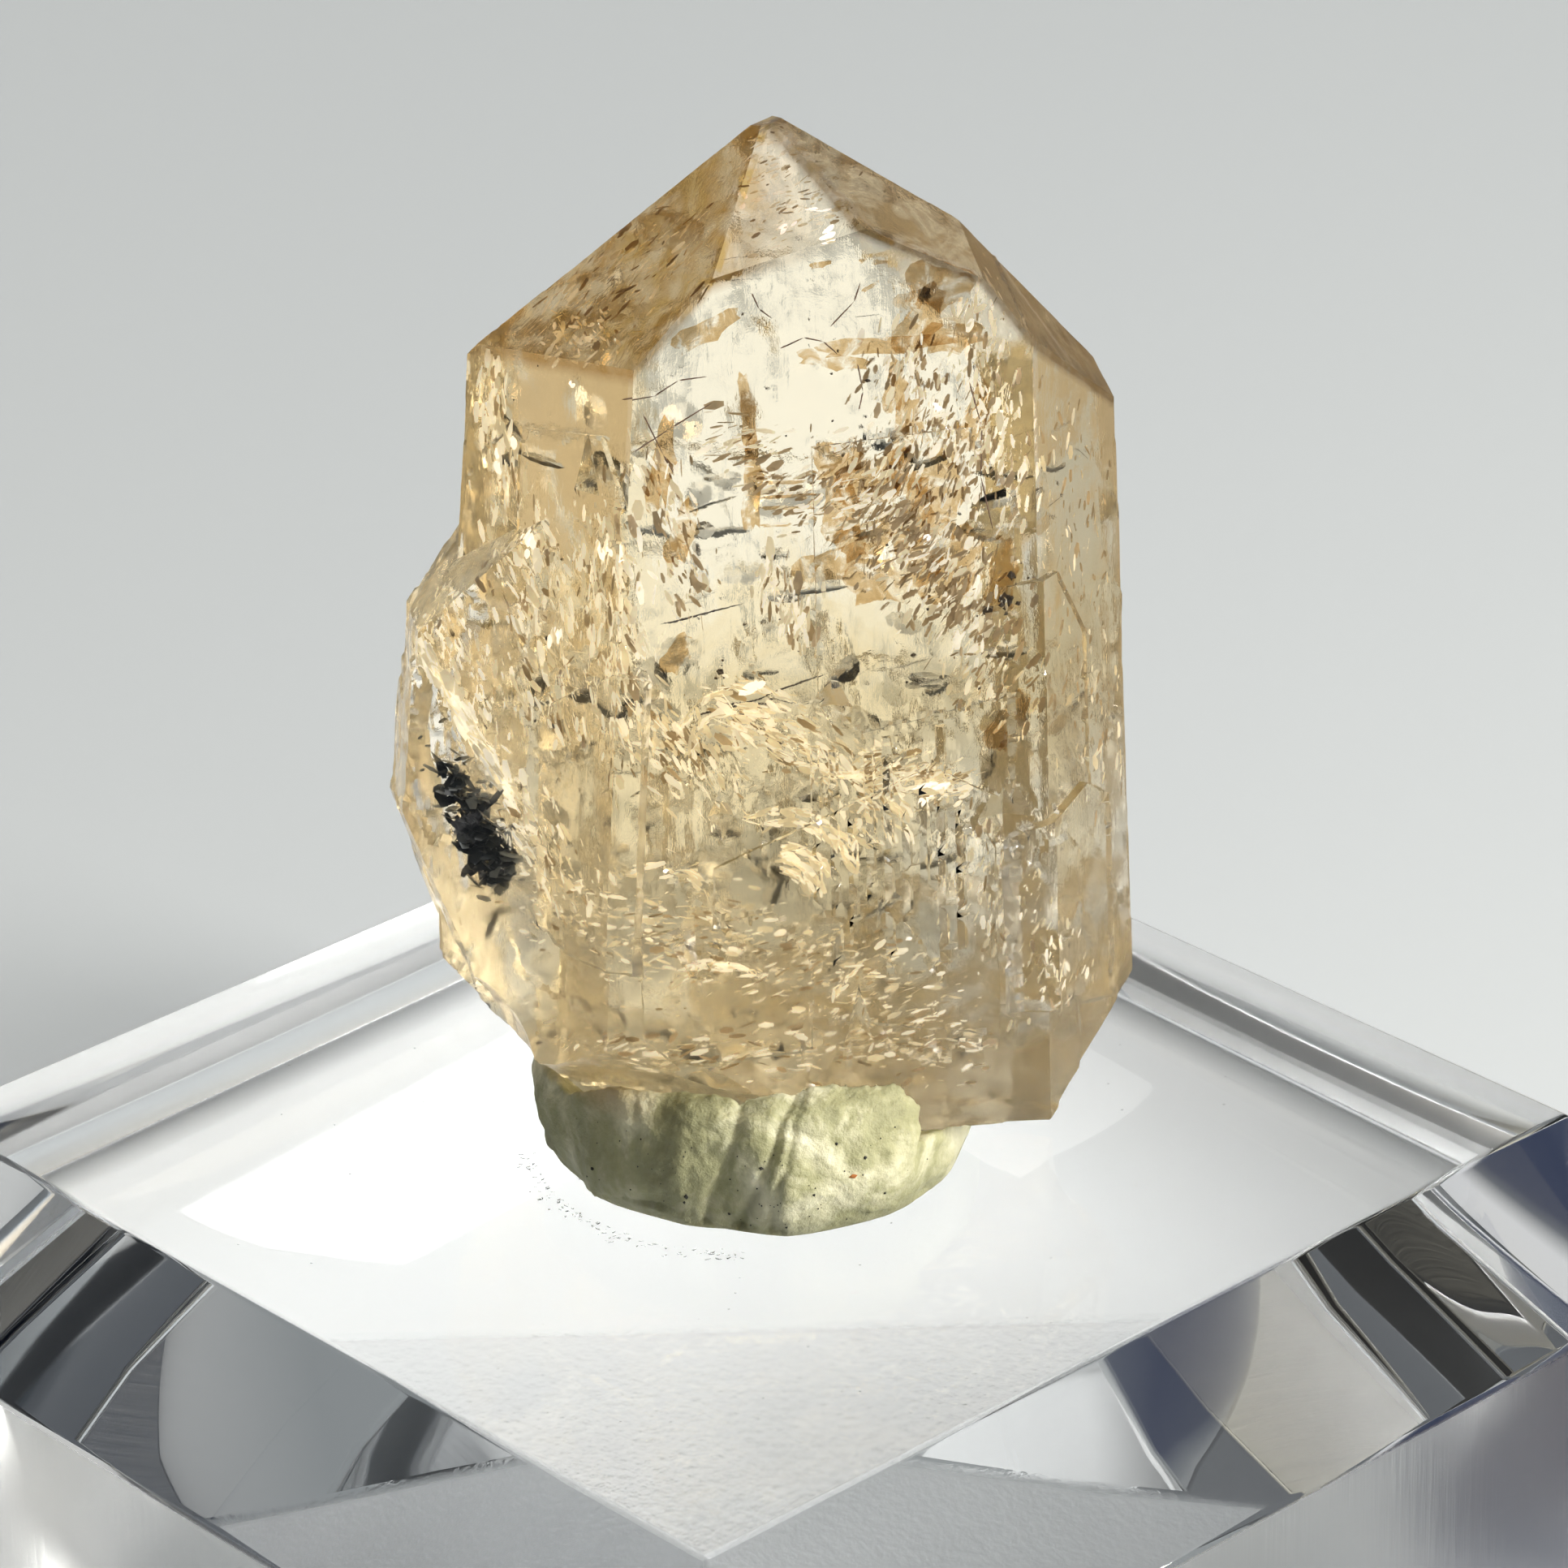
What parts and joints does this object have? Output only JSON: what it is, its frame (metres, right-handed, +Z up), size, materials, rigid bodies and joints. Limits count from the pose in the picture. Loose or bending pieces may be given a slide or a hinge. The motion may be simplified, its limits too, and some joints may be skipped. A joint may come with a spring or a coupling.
{
  "type": "topaz crystal on display block",
  "caption": "Rough champagne topaz crystal with a roof-like tip, stood in a pat of pale putty on a clear square block with bevelled edges.",
  "frame": {"origin": "middle of the block's underside", "axes": "+Z up, out of the block's top, along the specimen's height. +X and +Y along two sides of the block"},
  "size_m": [0.0318, 0.0318, 0.0353],
  "materials": {
    "topaz": "clear champagne-brown crystal with bright etched and broken areas",
    "putty": "soft matt putty with thumb prints and pleats",
    "clear_block": "polished clear acrylic with fine saw lines in its sides"
  },
  "bodies": {
    "root": {"topaz_crystal": "topaz", "putty_foot": "putty", "display_block": "clear_block"}
  },
  "joints": []
}
